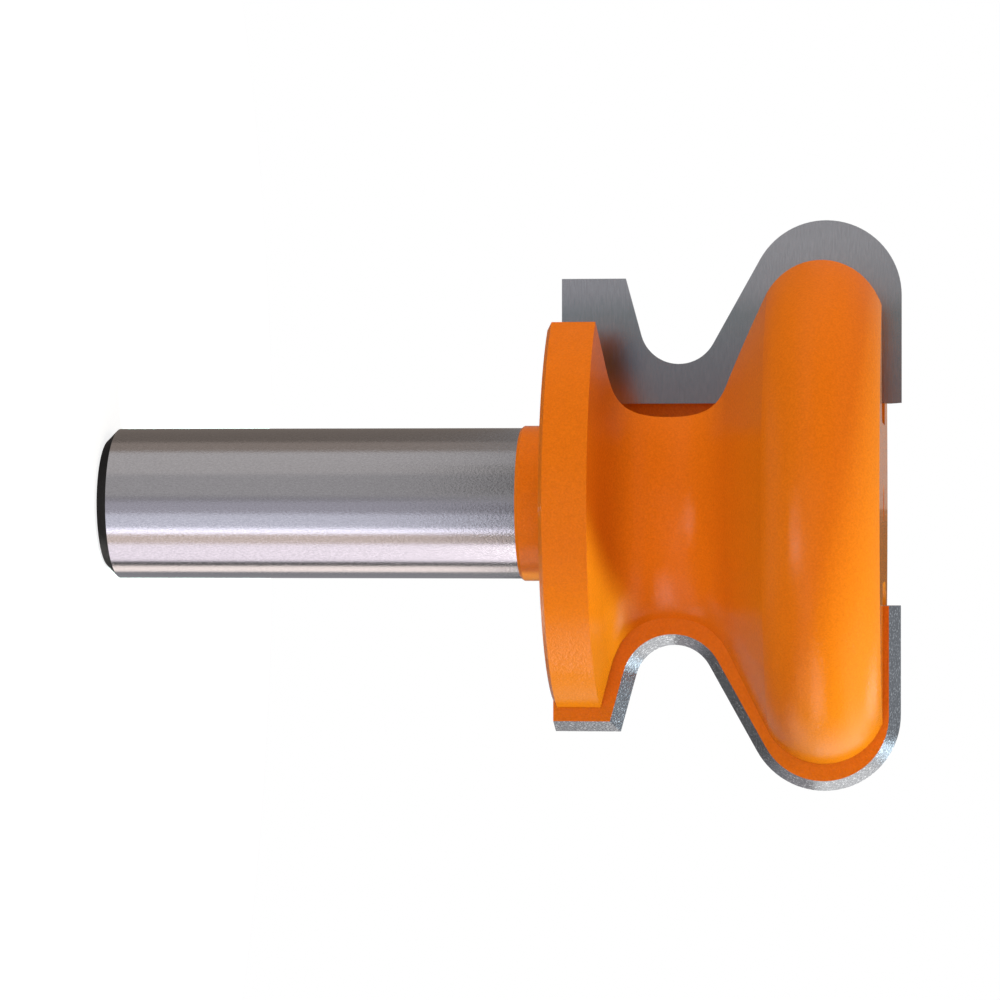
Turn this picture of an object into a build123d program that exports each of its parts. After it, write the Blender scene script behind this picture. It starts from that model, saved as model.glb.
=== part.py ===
from build123d import *
import math
import os

# Two-flute bead and cove router bit: one turned and milled steel body with two
# brazed carbide tips. The axis is Z, the shank's ground end lies on z = 0 and
# the cutting end points up. Lengths are millimetres, angles are degrees.

# Shank
shank_d = 12.7
shank_len = 35.4
shank_chamfer = 0.94

# Collar between the shank and the head
collar_d = 13.08
collar_len = 3.1
collar_bevel = 0.25
collar_root = 0.3

# Cutting profile, drawn on the flat rake face of a tip. A reach is a distance
# from the bit's axis measured along that face, a slope is an angle from square.
cut_len = 28.7
land_reach = 19.05
land_len = 5.45
land_slope = 15.3
cove_reach = 11.8
cove_r = 3.3
bead_reach = 23.86
bead_r = 6.35
root_reach = 8.45

# Carbide tips
rake_offset = 2.46
tip_thickness = 2.3
relief_angle = 22.5

# Round body that limits the chip: how far each of its surfaces stays inside
# the swept cutting profile, so that the tips overhang it, and its own radii
land_gap = 1.56
land_setback = 1.5
cove_gap = 1.42
bead_gap = 1.94
end_gap = 1.46
body_cove_r = 5.35
body_bead_r = 5.26
crease_angle = 57.0
flange_chamfer_run = 0.35
flange_chamfer_drop = 0.6

# Gullets in front of the tips
gullet_floor = 6.6
gullet_width = 14.0
gullet_draft = 2.5
gullet_wall_fillet = 3.0
gullet_seat_fillet = 0.8

# Lathe centre hole in the cutting end
centre_d = 3.2
centre_depth = 5.0
centre_point_angle = 118.0

# Places along the axis
head_z = shank_len + collar_len
cut_end_z = head_z + cut_len
body_end_z = cut_end_z - end_gap

# Centres of the cutting profile's two arcs, as (reach, z). The land's slope
# touches the cove arc, which sets how far along the axis that arc lies.
slope = math.radians(land_slope)
land_corner = (land_reach, head_z + land_len)
cove_centre = (
    cove_reach + cove_r,
    land_corner[1]
    + (land_reach - cove_reach - cove_r) * math.tan(slope)
    + cove_r / math.cos(slope),
)
bead_centre = (bead_reach - bead_r, cut_end_z - bead_r)

# Slope of the straight edge that touches both arcs, cove below and bead above
arc_gap_reach = bead_centre[0] - cove_centre[0]
arc_gap_z = bead_centre[1] - cove_centre[1]
flank = math.acos((cove_r + bead_r) / math.hypot(arc_gap_reach, arc_gap_z)) - math.atan2(
    arc_gap_reach, arc_gap_z
)

# The edge moves in by this much from the front of a tip to its back
relief = tip_thickness * math.tan(math.radians(relief_angle))

# Each gullet is cut out to here, clear of everything that the bit sweeps
outer_reach = bead_reach + gullet_width

# The two flutes, a half turn apart: the first lies on the side of -X
flutes = (-1, 1)


def on_circle(centre, radius, angle):
    """Point of a circle at an angle in radians from the reach direction."""
    return (centre[0] + radius * math.cos(angle), centre[1] + radius * math.sin(angle))


def touch_point(point, centre, radius, turn):
    """Where a line from a point touches a circle, on the side given by turn."""
    away = math.atan2(point[1] - centre[1], point[0] - centre[0])
    swing = math.acos(radius / math.dist(point, centre))
    return on_circle(centre, radius, away + turn * swing)


def swept(reach):
    """Radius that a point of the rake face sweeps when the bit turns."""
    return math.hypot(reach, rake_offset)


def rake_plane(side):
    """Plane of a tip's flat front, facing back into the steel."""
    return Plane(origin=(0, -side * rake_offset, 0), x_dir=(side, 0, 0), z_dir=(0, -side, 0))


def seat_plane(side):
    """Plane that a tip is brazed to."""
    return rake_plane(side).offset(tip_thickness)


def cutting_outline(inset):
    """Closed outline of a tip, with its cutting edges moved in by inset."""
    cove = cove_r + inset
    bead = bead_r - inset
    land = land_reach - inset
    end_z = cut_end_z - inset
    slope_start = (
        land,
        land_corner[1] + inset * math.tan(slope) - inset / math.cos(slope),
    )
    cove_in = on_circle(cove_centre, cove, -math.pi / 2 - slope)
    cove_out = on_circle(cove_centre, cove, math.pi / 2 + flank)
    bead_in = on_circle(bead_centre, bead, flank - math.pi / 2)
    bead_out = (bead_centre[0], end_z)
    Polyline((root_reach, head_z), (land, head_z), slope_start, cove_in)
    ThreePointArc(cove_in, on_circle(cove_centre, cove, math.pi), cove_out)
    Line(cove_out, bead_in)
    ThreePointArc(bead_in, on_circle(bead_centre, bead, 0), bead_out)
    Polyline(bead_out, (root_reach, end_z), (root_reach, head_z))


def body_outline():
    """Half section of the turned body, from the axis out and back to the axis."""
    shank_r = shank_d / 2
    collar_r = collar_d / 2
    flange_r = swept(land_reach) - land_gap
    flange_end = (flange_r, land_corner[1] - land_setback)
    cove = (swept(cove_reach) - cove_gap + body_cove_r, cove_centre[1])
    bead = (swept(bead_reach) - bead_gap - body_bead_r, bead_centre[1])
    crease = on_circle(bead, body_bead_r, -math.radians(crease_angle))
    cove_in = touch_point(flange_end, cove, body_cove_r, -1)
    cove_out = touch_point(crease, cove, body_cove_r, 1)
    rim_rise = body_end_z - bead[1]
    rim = (bead[0] + math.sqrt(body_bead_r**2 - rim_rise**2), body_end_z)
    Polyline(
        (0, 0),
        (shank_r - shank_chamfer, 0),
        (shank_r, shank_chamfer),
        (shank_r, shank_len),
        (collar_r, shank_len + collar_bevel),
        (collar_r, head_z - collar_root),
        (collar_r + collar_root, head_z),
        (flange_r - flange_chamfer_drop, head_z),
        (flange_r, head_z + flange_chamfer_run),
        flange_end,
        cove_in,
    )
    Spline(
        cove_in,
        on_circle(cove, body_cove_r, math.pi),
        cove_out,
        tangents=(
            (cove_in[0] - flange_end[0], cove_in[1] - flange_end[1]),
            (crease[0] - cove_out[0], crease[1] - cove_out[1]),
        ),
    )
    Line(cove_out, crease)
    ThreePointArc(crease, on_circle(bead, body_bead_r, 0), rim)
    Polyline(rim, (0, body_end_z), (0, 0))


def gullet_outline():
    """Cross section of one gullet, from the brazing seat to its far wall."""
    seat = -(rake_offset + tip_thickness)
    wall = seat + gullet_width
    spread = (outer_reach - gullet_floor) * math.tan(math.radians(gullet_draft))
    FilletPolyline(
        (outer_reach, seat),
        (gullet_floor, seat),
        (gullet_floor, wall),
        (outer_reach, wall + spread),
        radius=(gullet_seat_fillet, gullet_wall_fillet),
    )
    Line((outer_reach, wall + spread), (outer_reach, seat))


with BuildPart() as cutter_body:
    with BuildSketch(Plane.XZ):
        with BuildLine():
            body_outline()
        make_face()
    revolve(axis=Axis.Z)
    for side in flutes:
        with BuildSketch(Plane(origin=(0, 0, shank_len), x_dir=(side, 0, 0), z_dir=(0, 0, 1))):
            with BuildLine():
                gullet_outline()
            make_face()
        extrude(amount=collar_len + cut_len, mode=Mode.SUBTRACT)
    with BuildSketch(Plane.XZ):
        point_rise = centre_d / 2 / math.tan(math.radians(centre_point_angle / 2))
        with BuildLine():
            Polyline(
                (0, body_end_z),
                (centre_d / 2, body_end_z),
                (centre_d / 2, body_end_z - centre_depth),
                (0, body_end_z - centre_depth - point_rise),
                close=True,
            )
        make_face()
    revolve(axis=Axis.Z, mode=Mode.SUBTRACT)
cutter_body.part.label = "cutter_body"


def carbide_tip(side):
    """One carbide tip: flat rake face in front, relief on every cutting edge."""
    with BuildPart() as tip:
        with BuildSketch(rake_plane(side)):
            with BuildLine():
                cutting_outline(0)
            make_face()
        with BuildSketch(seat_plane(side)):
            with BuildLine():
                cutting_outline(relief)
            make_face()
        loft(ruled=True)
    return tip


carbide_tip_a = carbide_tip(flutes[0])
carbide_tip_b = carbide_tip(flutes[1])
carbide_tip_a.part.label = "carbide_tip_a"
carbide_tip_b.part.label = "carbide_tip_b"

os.makedirs("parts", exist_ok=True)
export_step(cutter_body.part, "parts/cutter_body.step")
export_step(carbide_tip_a.part, "parts/carbide_tip_a.step")
export_step(carbide_tip_b.part, "parts/carbide_tip_b.step")
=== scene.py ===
"""Looks of a two-flute bead and cove router bit.

It has a ground steel shank, an orange coated head and brazed carbide tips.
"""

import math

import bpy
from mathutils import Matrix, Vector


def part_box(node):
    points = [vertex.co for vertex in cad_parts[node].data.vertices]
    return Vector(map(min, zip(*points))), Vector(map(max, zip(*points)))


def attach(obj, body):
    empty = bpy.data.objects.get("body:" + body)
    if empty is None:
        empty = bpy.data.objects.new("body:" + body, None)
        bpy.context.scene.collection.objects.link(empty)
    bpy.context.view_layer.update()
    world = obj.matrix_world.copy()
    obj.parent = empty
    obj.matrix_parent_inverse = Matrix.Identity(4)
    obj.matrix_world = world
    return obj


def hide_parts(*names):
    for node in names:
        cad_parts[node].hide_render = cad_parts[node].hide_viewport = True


MM = 0.001

# Places along the bit's axis that part one finish from the next
CHAMFER_TOP = 0.94 * MM
COATING_START = 35.4 * MM

# A face this close to a tip's front or back plane belongs to it. The floor lies this
# far under the shank's end.
HAIR = 0.05 * MM

# Colours, as a screen shows them from 0 to 255
# The shank's end and chamfer are painted this black, as a painted dark reflection
DARK_REFLECTION_BLACK = (30, 24, 23)
HEAD_ORANGE = (216, 105, 15)
# The head's orange painted darker on the tips' backs, as painted shade where the head
# shadows them
TIP_BACK_SHADED_ORANGE = (202, 98, 14)

# How a pattern is stretched along X, Y and Z
EVEN = (1.0, 1.0, 1.0)
DRAWN_ALONG_SHANK = (1.0, 1.0, 0.5)
GROUND_ALONG_FACE = (0.12, 1.0, 1.0)

# Fineness of each finish, in noise cells to the metre, and the depth of its relief
STEEL_GRAIN = 9000.0
STEEL_RELIEF = 0.005 * MM
COATING_MOTTLE = 6000.0
COATING_PEEL = 5000.0
PEEL_RELIEF = 0.035 * MM
FACE_GRAIN = 9000.0
FACE_RELIEF = 0.002 * MM
EDGE_GRAIN = 5000.0
EDGE_RELIEF = 0.02 * MM

# A rake face's painted shade changes between these two reaches from the axis: darkest near
# the root, lightest near the edge
SHADE_RAMP_START = 8 * MM
SHADE_RAMP_END = 24 * MM

# A reddish-dark reflection painted on a tip's rake face near its root, as distances along X,
# Y and Z
REFLECTION_SPOT = Vector((12.0, 2.46, 43.1)) * MM
REFLECTION_REACH = 3.2 * MM
REFLECTION_TINT = (0.50, 0.72, 0.88, 1)

# The camera: where it stands, what it looks at, its lens and sensor in millimetres, and
# how near to it things begin to show
CAMERA_PLACE = Vector((0.78, -330.0, 71.63)) * MM
CAMERA_TARGET = Vector((-0.28, 0.0, 33.50)) * MM
CAMERA_LENS = 141.7
SENSOR_WIDTH = 36.0
NEAREST_SEEN = 10 * MM

# The floor, and the levels of grey in the studio. The lift is the floor's own glow.
FLOOR_RADIUS = 0.08
FLOOR_CORNERS = 128
FLOOR_GREY = 0.35
FLOOR_LIFT = 0.83
WORLD_FILL = 0.25

# Lamps, all turned to the middle of the head from the same distance. A lamp is
# (name, bearing, elevation, width, height, watts, tint). A bearing in degrees is 0 on
# the camera's side and grows towards +X.
HEAD_CENTRE = Vector((0, 0, 0.052))
LAMP_DISTANCE = 0.55
LAMPS = [
    ("key", 102, 46, 0.08, 0.08, 6.0, (0.52, 1.0, 0.85)),
    ("fill", 16, -4, 0.6, 0.4, 2.75, (1.0, 1.0, 1.0)),
    ("high_fill", -15, 68, 0.25, 0.25, 1.2, (1.0, 0.95, 0.8)),
    ("rim", -100, -4, 0.4, 0.4, 2.6, (1.0, 1.0, 1.0)),
]

# The round tent, which the bit mirrors. A panel of it is (name, first bearing, last
# bearing, height of its foot and top, level of red, green and blue). The steps are
# the degrees between the corners that round off a panel and a lid.
TENT_RADIUS = 0.60
TENT_HALF_HEIGHT = 1.2
PANEL_STEP = 5.0
LID_STEP = 10
LID_LEVEL = (0.50, 0.50, 0.50)
TENT_PANELS = [
    # Band that the ground shank mirrors
    ("brown_wall", -180, -108, -0.28, -0.03, (0.20, 0.17, 0.15)),
    ("brown_edge", -108, -86, -0.28, -0.03, (0.33, 0.28, 0.25)),
    ("pale_grey_wall", -86, -45, -0.28, -0.03, (0.56, 0.54, 0.54)),
    ("grey_wall", -45, -10, -0.28, -0.03, (0.45, 0.44, 0.45)),
    ("narrow_gap", -10, -3, -0.28, -0.03, (0.34, 0.33, 0.36)),
    ("dull_blue_wall", -3, 16, -0.28, -0.03, (0.49, 0.48, 0.55)),
    ("blue_wall", 16, 39.5, -0.28, -0.03, (0.83, 0.84, 0.97)),
    ("blue_window", 39.5, 47.5, -0.28, -0.03, (1.95, 1.90, 2.2)),
    ("warm_wall", 47.5, 65, -0.28, -0.03, (0.90, 0.75, 0.68)),
    ("side_window", 65, 101, -0.28, 0.08, (1.32, 1.20, 1.32)),
    ("dark_gap", 101, 113, -0.28, -0.03, (0.10, 0.10, 0.10)),
    ("back_window", 113, 131, -0.28, -0.03, (1.45, 1.28, 1.22)),
    ("back_wall", 131, 180, -0.28, -0.03, (0.30, 0.30, 0.32)),
    # Band that the head and the tips mirror
    ("grey_far_side", -180, -60, -0.03, 0.35, (0.28, 0.28, 0.29)),
    ("dim_far_side", -60, -12, -0.03, 0.35, (0.09, 0.09, 0.09)),
    ("rake_light", -12, 0, -0.03, 0.35, (0.34, 0.34, 0.35)),
    ("dim_near_side", 0, 65, -0.03, 0.35, (0.10, 0.10, 0.10)),
    ("dim_above_window", 65, 101, 0.08, 0.35, (0.12, 0.12, 0.12)),
    ("dim_slot", 101, 116, -0.03, 0.35, (0.10, 0.10, 0.10)),
    ("edge_light", 116, 150, 0.0, 0.42, (1.15, 1.14, 1.12)),
    ("dim_edge_foot", 116, 150, -0.03, 0.0, (0.30, 0.30, 0.30)),
    ("dim_behind", 150, 180, -0.03, 0.42, (0.05, 0.05, 0.05)),
    # Above and below
    ("dim_top", -180, 70, 0.35, 1.2, (0.34, 0.34, 0.35)),
    ("high_window", 70, 116, 0.35, 1.2, (1.0, 1.0, 1.0)),
    ("high_edge_light", 116, 142, 0.42, 1.2, (0.6, 0.6, 0.6)),
    ("blue_edge_light", 142, 156, 0.42, 0.57, (2.4, 2.9, 3.2)),
    ("pale_edge_light", 156, 180, 0.42, 0.57, (0.34, 0.36, 0.38)),
    ("pale_top", 142, 180, 0.57, 1.2, (0.34, 0.36, 0.38)),
    ("dim_foot", -180, 180, -1.2, -0.28, (0.12, 0.12, 0.12)),
]
# Small bright windows just inside the tent, which the coating mirrors as streaks
WINDOW_RADIUS = 0.58
TENT_WINDOWS = [
    ("low_window_left", 0, 14, -0.46, -0.32, (8.0, 7.6, 7.4)),
    ("low_window_right", 14, 27, -0.43, -0.28, (15.0, 14.3, 13.8)),
    ("side_window_high", 68, 104, 0.01, 0.07, (8.0, 7.6, 7.4)),
    ("slope_window", 152, 166, -0.62, -0.50, (7.0, 6.7, 6.4)),
]


# Materials


def srgb(red, green, blue):
    """Linear colour, as the shader wants it, from the 0 to 255 values of a screen."""
    def linear(value):
        value /= 255
        # The screen's standard curve
        return value / 12.92 if value <= 0.04045 else ((value + 0.055) / 1.055) ** 2.4

    return (linear(red), linear(green), linear(blue), 1.0)


def new_material(name):
    """A material with its node tree and its principled shader."""
    material = bpy.data.materials.new(name)
    material.use_nodes = True
    tree = material.node_tree
    return material, tree, tree.nodes["Principled BSDF"]


def object_coordinates(tree, scale):
    """Object coordinates, stretched by a scale along each axis."""
    place = tree.nodes.new("ShaderNodeTexCoord")
    mapping = tree.nodes.new("ShaderNodeMapping")
    mapping.inputs["Scale"].default_value = scale
    tree.links.new(place.outputs["Object"], mapping.inputs["Vector"])
    return mapping.outputs["Vector"]


def noise(tree, vector, scale, roughness, detail=2.0):
    """Noise of a given fineness on a vector."""
    texture = tree.nodes.new("ShaderNodeTexNoise")
    texture.inputs["Scale"].default_value = scale
    texture.inputs["Detail"].default_value = detail
    texture.inputs["Roughness"].default_value = roughness
    tree.links.new(vector, texture.inputs["Vector"])
    return texture.outputs["Fac"]


def ramp(tree, factor, stops):
    """Colours blended along a factor from 0 to 1: stops are (position, colour)."""
    node = tree.nodes.new("ShaderNodeValToRGB")
    elements = node.color_ramp.elements
    while len(elements) < len(stops):
        elements.new(0.5)
    for element, (position, colour) in zip(elements, stops):
        element.position = position
        element.color = colour
    tree.links.new(factor, node.inputs["Fac"])
    return node.outputs["Color"]


def spread(tree, factor, low, high):
    """A factor from 0 to 1 turned into a value from low to high."""
    node = tree.nodes.new("ShaderNodeMapRange")
    node.inputs["To Min"].default_value = low
    node.inputs["To Max"].default_value = high
    tree.links.new(factor, node.inputs["Value"])
    return node.outputs["Result"]


def bump(tree, height, depth, shader):
    """Fine relief on a shader's surface: depth is in metres."""
    node = tree.nodes.new("ShaderNodeBump")
    node.inputs["Strength"].default_value = 1.0
    node.inputs["Distance"].default_value = depth
    tree.links.new(height, node.inputs["Height"])
    tree.links.new(node.outputs["Normal"], shader.inputs["Normal"])


def ground_steel():
    """Bare shank, centreless ground: a fine speckle drawn out along the axis."""
    material, tree, shader = new_material("ground_steel")
    shader.inputs["Metallic"].default_value = 1.0
    place = object_coordinates(tree, DRAWN_ALONG_SHANK)
    grain = noise(tree, place, STEEL_GRAIN, roughness=0.6)
    colour = ramp(tree, grain, [
        (0.3, (0.55, 0.54, 0.55, 1)),
        (0.7, (0.66, 0.65, 0.66, 1)),
    ])
    tree.links.new(colour, shader.inputs["Base Color"])
    tree.links.new(spread(tree, grain, 0.11, 0.19), shader.inputs["Roughness"])
    bump(tree, grain, STEEL_RELIEF, shader)
    return material


def end_painted_dark():
    """Shank end and its chamfer, painted black as a dark reflection."""
    material, _, shader = new_material("end_painted_dark_reflection")
    shader.inputs["Base Color"].default_value = srgb(*DARK_REFLECTION_BLACK)
    shader.inputs["Roughness"].default_value = 0.45
    shader.inputs["Specular IOR Level"].default_value = 0.25
    return material


def orange_coating(name, colour):
    """Non-stick coating: satin orange, slightly mottled, with a fine orange-peel skin."""
    material, tree, shader = new_material(name)
    place = object_coordinates(tree, EVEN)
    mottle = ramp(tree, noise(tree, place, COATING_MOTTLE, roughness=0.7), [
        (0.3, (0.91, 0.89, 0.85, 1)),
        (0.7, (1.09, 1.11, 1.15, 1)),
    ])
    tree.links.new(multiplied(tree, mottle, srgb(*colour)), shader.inputs["Base Color"])
    shader.inputs["Roughness"].default_value = 0.08
    shader.inputs["Specular IOR Level"].default_value = 0.12
    bump(tree, noise(tree, place, COATING_PEEL, roughness=0.6), PEEL_RELIEF, shader)
    return material


def place_on_either_tip(tree):
    """Object coordinates without their signs, so that both tips have the same ones."""
    place = tree.nodes.new("ShaderNodeTexCoord")
    size = tree.nodes.new("ShaderNodeVectorMath")
    size.operation = "ABSOLUTE"
    tree.links.new(place.outputs["Object"], size.inputs[0])
    return size.outputs["Vector"]


def reach_along_face(tree, inner, outer):
    """0 at the inner reach along X and 1 at the outer one."""
    split = tree.nodes.new("ShaderNodeSeparateXYZ")
    tree.links.new(place_on_either_tip(tree), split.inputs["Vector"])
    node = tree.nodes.new("ShaderNodeMapRange")
    node.inputs["From Min"].default_value = inner
    node.inputs["From Max"].default_value = outer
    tree.links.new(split.outputs["X"], node.inputs["Value"])
    return node.outputs["Result"]


def near_spot(tree, spot, reach):
    """1 at a spot that both tips have, fading to 0 at the reach."""
    away = tree.nodes.new("ShaderNodeVectorMath")
    away.operation = "DISTANCE"
    away.inputs[1].default_value = spot
    tree.links.new(place_on_either_tip(tree), away.inputs[0])
    node = tree.nodes.new("ShaderNodeMapRange")
    node.interpolation_type = "SMOOTHSTEP"
    node.inputs["From Max"].default_value = reach
    node.inputs["To Min"].default_value = 1.0
    node.inputs["To Max"].default_value = 0.0
    tree.links.new(away.outputs["Value"], node.inputs["Value"])
    return node.outputs["Result"]


def multiplied(tree, first, second, share=None):
    """One colour times another. A share from 0 to 1 says how much the second counts."""
    mix = tree.nodes.new("ShaderNodeMix")
    mix.data_type = "RGBA"
    mix.blend_type = "MULTIPLY"
    if share is None:
        mix.inputs["Factor"].default_value = 1.0
    else:
        tree.links.new(share, mix.inputs["Factor"])
    tree.links.new(first, mix.inputs["A"])
    if isinstance(second, tuple):
        mix.inputs["B"].default_value = second
    else:
        tree.links.new(second, mix.inputs["B"])
    return mix.outputs["Result"]


def carbide_face():
    """Diamond-ground rake face, with painted shade that lightens from the root to the edge,
    and a painted reddish reflection near the root.
    """
    material, tree, shader = new_material("carbide_face")
    shader.inputs["Metallic"].default_value = 1.0
    place = object_coordinates(tree, GROUND_ALONG_FACE)
    grain = noise(tree, place, FACE_GRAIN, detail=3.0, roughness=0.6)
    lines = ramp(tree, grain, [
        (0.3, (0.92, 0.92, 0.92, 1)),
        (0.7, (1.08, 1.08, 1.08, 1)),
    ])
    # Painted shade: darkest near the root by the head, lightest near the edge
    tint = ramp(tree, reach_along_face(tree, SHADE_RAMP_START, SHADE_RAMP_END), [
        (0.10, (0.40, 0.39, 0.41, 1)),
        (0.30, (0.44, 0.45, 0.47, 1)),
        (0.50, (0.48, 0.52, 0.53, 1)),
        (0.62, (0.66, 0.67, 0.69, 1)),
        (0.88, (0.80, 0.80, 0.82, 1)),
    ])
    colour = multiplied(tree, tint, lines)
    # A reddish-dark reflection painted near the root
    painted_reflection = near_spot(tree, REFLECTION_SPOT, REFLECTION_REACH)
    tree.links.new(multiplied(tree, colour, REFLECTION_TINT, painted_reflection), shader.inputs["Base Color"])
    tree.links.new(spread(tree, grain, 0.16, 0.24), shader.inputs["Roughness"])
    bump(tree, grain, FACE_RELIEF, shader)
    return material


def carbide_edge():
    """Ground flanks behind the cutting edges: coarser, so that single grains sparkle."""
    material, tree, shader = new_material("carbide_edge")
    shader.inputs["Metallic"].default_value = 1.0
    grain = noise(tree, object_coordinates(tree, EVEN), EDGE_GRAIN, roughness=0.6)
    colour = ramp(tree, grain, [
        (0.40, (0.34, 0.35, 0.37, 1)),
        (0.56, (0.44, 0.45, 0.48, 1)),
        (0.68, (0.88, 0.91, 0.94, 1)),
    ])
    tree.links.new(colour, shader.inputs["Base Color"])
    shader.inputs["Roughness"].default_value = 0.22
    bump(tree, grain, EDGE_RELIEF, shader)
    return material


# Pieces


def dressed_copy(node, name, finishes, finish_of):
    """A copy of a CAD node. The centre of a face decides which finish it gets."""
    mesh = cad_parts[node].data.copy()
    mesh.name = name
    mesh.materials.clear()
    for finish in finishes:
        mesh.materials.append(finish)
    for face in mesh.polygons:
        face.material_index = finish_of(face.center)
    piece = bpy.data.objects.new(name, mesh)
    bpy.context.scene.collection.objects.link(piece)
    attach(piece, "root")
    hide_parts(node)
    return piece


def cutter_body():
    """Steel body: end painted black as a dark reflection, bare shank, coated head."""
    def finish_of(centre):
        if centre.z < CHAMFER_TOP:
            return 0
        return 1 if centre.z < COATING_START else 2

    finishes = [end_painted_dark(), ground_steel(), orange_coating("orange_coating", HEAD_ORANGE)]
    piece = dressed_copy("cutter_body", "steel_body", finishes, finish_of)


def carbide_tips():
    """The two brazed tips: ground carbide, with the coating on their backs painted darker as
    shade.
    """
    finishes = [
        carbide_face(),
        carbide_edge(),
        # The coating on the backs, painted darker as shade
        orange_coating("coating_on_carbide_painted_shade", TIP_BACK_SHADED_ORANGE),
    ]
    # The second tip is the first turned half round, so its planes lie just as far out
    front, back = sorted(abs(corner.y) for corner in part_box("carbide_tip_a"))

    def finish_of(centre):
        if abs(centre.y) < front + HAIR:
            return 0
        return 2 if abs(centre.y) > back - HAIR else 1

    for letter in "ab":
        node = f"carbide_tip_{letter}"
        piece = dressed_copy(node, f"cutting_tip_{letter}", finishes, finish_of)


# Studio


def ray_kind(tree, *kinds):
    """1 for a ray of any of the given kinds, 0 for the rest."""
    rays = tree.nodes.new("ShaderNodeLightPath")
    found = rays.outputs[kinds[0]]
    for kind in kinds[1:]:
        either = tree.nodes.new("ShaderNodeMath")
        either.operation = "MAXIMUM"
        tree.links.new(found, either.inputs[0])
        tree.links.new(rays.outputs[kind], either.inputs[1])
        found = either.outputs["Value"]
    return found


def white_background():
    """World: white to the eye and in reflections, and a dimmer fill for everything else."""
    world = bpy.data.worlds.new("studio")
    world.use_nodes = True
    bpy.context.scene.world = world
    tree = world.node_tree
    tree.nodes.clear()
    fill = tree.nodes.new("ShaderNodeBackground")
    fill.inputs["Color"].default_value = (WORLD_FILL, WORLD_FILL, WORLD_FILL, 1)
    white = tree.nodes.new("ShaderNodeBackground")
    white.inputs["Color"].default_value = (1, 1, 1, 1)
    mix = tree.nodes.new("ShaderNodeMixShader")
    output = tree.nodes.new("ShaderNodeOutputWorld")
    seen = ray_kind(tree, "Is Camera Ray", "Is Glossy Ray", "Is Transmission Ray")
    tree.links.new(seen, mix.inputs["Fac"])
    tree.links.new(fill.outputs["Background"], mix.inputs[1])
    tree.links.new(white.outputs["Background"], mix.inputs[2])
    tree.links.new(mix.outputs["Shader"], output.inputs["Surface"])


def floor():
    """Pale round floor, a hair under the shank's end, which keeps the bit's shadow."""
    bpy.ops.mesh.primitive_circle_add(
        vertices=FLOOR_CORNERS, radius=FLOOR_RADIUS, fill_type="NGON", location=(0, 0, -HAIR)
    )
    disc = bpy.context.object
    disc.name = "floor"
    material = bpy.data.materials.new("pale_floor")
    material.use_nodes = True
    tree = material.node_tree
    tree.nodes.clear()
    seen = ray_kind(tree, "Is Camera Ray")
    paper = tree.nodes.new("ShaderNodeBsdfDiffuse")
    paper.inputs["Color"].default_value = (FLOOR_GREY, FLOOR_GREY, FLOOR_GREY, 1)
    glow = tree.nodes.new("ShaderNodeEmission")
    tree.links.new(spread(tree, seen, 0.0, FLOOR_LIFT), glow.inputs["Strength"])
    both = tree.nodes.new("ShaderNodeAddShader")
    output = tree.nodes.new("ShaderNodeOutputMaterial")
    tree.links.new(paper.outputs["BSDF"], both.inputs[0])
    tree.links.new(glow.outputs["Emission"], both.inputs[1])
    tree.links.new(both.outputs["Shader"], output.inputs["Surface"])
    disc.data.materials.append(material)
    disc.visible_glossy = False


def glowing_sheet(name, verts, faces, level):
    """A piece of the tent: it glows and shows in reflections alone."""
    mesh = bpy.data.meshes.new(name)
    mesh.from_pydata(verts, [], faces)
    material = bpy.data.materials.new(name)
    material.use_nodes = True
    tree = material.node_tree
    tree.nodes.clear()
    glow = tree.nodes.new("ShaderNodeEmission")
    glow.inputs["Color"].default_value = (*level, 1)
    output = tree.nodes.new("ShaderNodeOutputMaterial")
    tree.links.new(glow.outputs["Emission"], output.inputs["Surface"])
    mesh.materials.append(material)
    panel = bpy.data.objects.new(name, mesh)
    bpy.context.scene.collection.objects.link(panel)
    panel.visible_camera = False
    panel.visible_diffuse = False


def around_bit(radius, bearing, height):
    """Point at a distance from the bit's axis."""
    turn = math.radians(bearing)
    return (radius * math.sin(turn), -radius * math.cos(turn), height)


def tent_wall(radius, name, start, end, foot, top, level):
    """A curved panel of the tent, from one bearing to another."""
    steps = max(1, round((end - start) / PANEL_STEP))
    verts = []
    for i in range(steps + 1):
        bearing = start + (end - start) * i / steps
        verts += [around_bit(radius, bearing, foot), around_bit(radius, bearing, top)]
    faces = [(2 * i, 2 * i + 1, 2 * i + 3, 2 * i + 2) for i in range(steps)]
    glowing_sheet(name, verts, faces, level)


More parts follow.
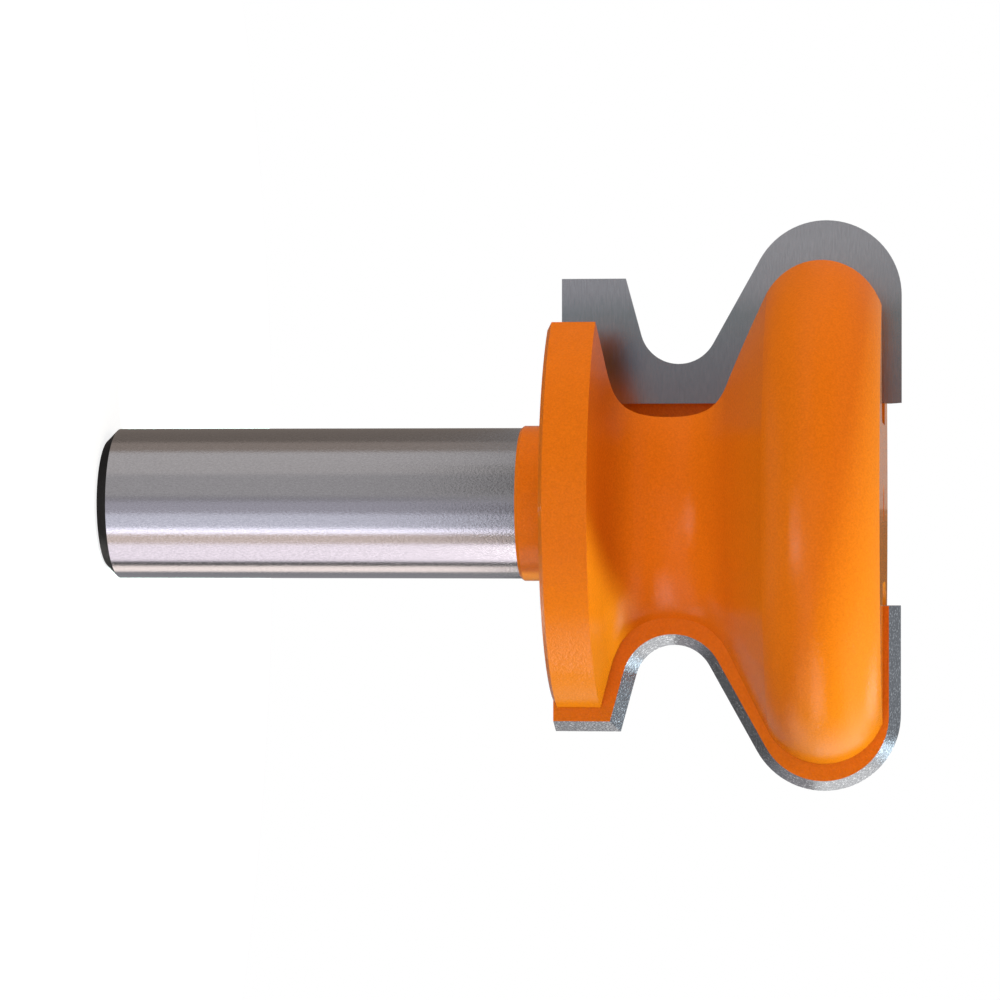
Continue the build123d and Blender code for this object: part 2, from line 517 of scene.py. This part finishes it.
def light_tent():
    """Round tent with a roof and a ground: its panels lie as bands along the shank."""
    for panel in TENT_PANELS:
        tent_wall(TENT_RADIUS, *panel)
    for window in TENT_WINDOWS:
        tent_wall(WINDOW_RADIUS, *window)
    for name, height in (("roof", TENT_HALF_HEIGHT), ("ground", -TENT_HALF_HEIGHT)):
        bearings = range(-180, 180, LID_STEP)
        verts = [around_bit(TENT_RADIUS, bearing, height) for bearing in bearings]
        glowing_sheet(name, verts, [range(len(verts))], LID_LEVEL)


def softbox(name, bearing, elevation, width, height, watts, tint):
    """A rectangular lamp that lights the head, while the tent gives the reflections."""
    lamp = bpy.data.lights.new(name, "AREA")
    lamp.shape = "RECTANGLE"
    lamp.size = width
    lamp.size_y = height
    lamp.energy = watts
    lamp.color = tint
    box = bpy.data.objects.new(name, lamp)
    box.visible_glossy = False
    rise = math.radians(elevation)
    away = Vector(around_bit(math.cos(rise), bearing, math.sin(rise)))
    box.location = HEAD_CENTRE + away * LAMP_DISTANCE
    box.rotation_euler = away.to_track_quat("Z", "Y").to_euler()
    bpy.context.scene.collection.objects.link(box)


def camera():
    """The photograph's view: the bit lies across it with its cutting end to the right."""
    lens = bpy.data.cameras.new("camera")
    lens.lens = CAMERA_LENS
    lens.sensor_width = SENSOR_WIDTH
    lens.clip_start = NEAREST_SEEN
    eye = bpy.data.objects.new("camera", lens)
    back = (CAMERA_PLACE - CAMERA_TARGET).normalized()
    axis = Vector((0, 0, 1))
    right = (axis - back * axis.dot(back)).normalized()
    up = back.cross(right)
    turned = Matrix((right, up, back)).transposed().to_4x4()
    eye.matrix_world = Matrix.Translation(CAMERA_PLACE) @ turned
    bpy.context.scene.collection.objects.link(eye)
    bpy.context.scene.camera = eye


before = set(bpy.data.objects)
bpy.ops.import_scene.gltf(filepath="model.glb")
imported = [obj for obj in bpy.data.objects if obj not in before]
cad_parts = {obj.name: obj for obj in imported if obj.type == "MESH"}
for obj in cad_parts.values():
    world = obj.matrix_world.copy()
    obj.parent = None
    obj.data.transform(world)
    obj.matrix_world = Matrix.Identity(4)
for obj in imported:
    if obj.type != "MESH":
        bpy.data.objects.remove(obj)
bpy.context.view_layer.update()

cutter_body()
carbide_tips()
white_background()
floor()
light_tent()
for lamp_row in LAMPS:
    softbox(*lamp_row)
camera()
bpy.context.scene.view_settings.view_transform = "Standard"
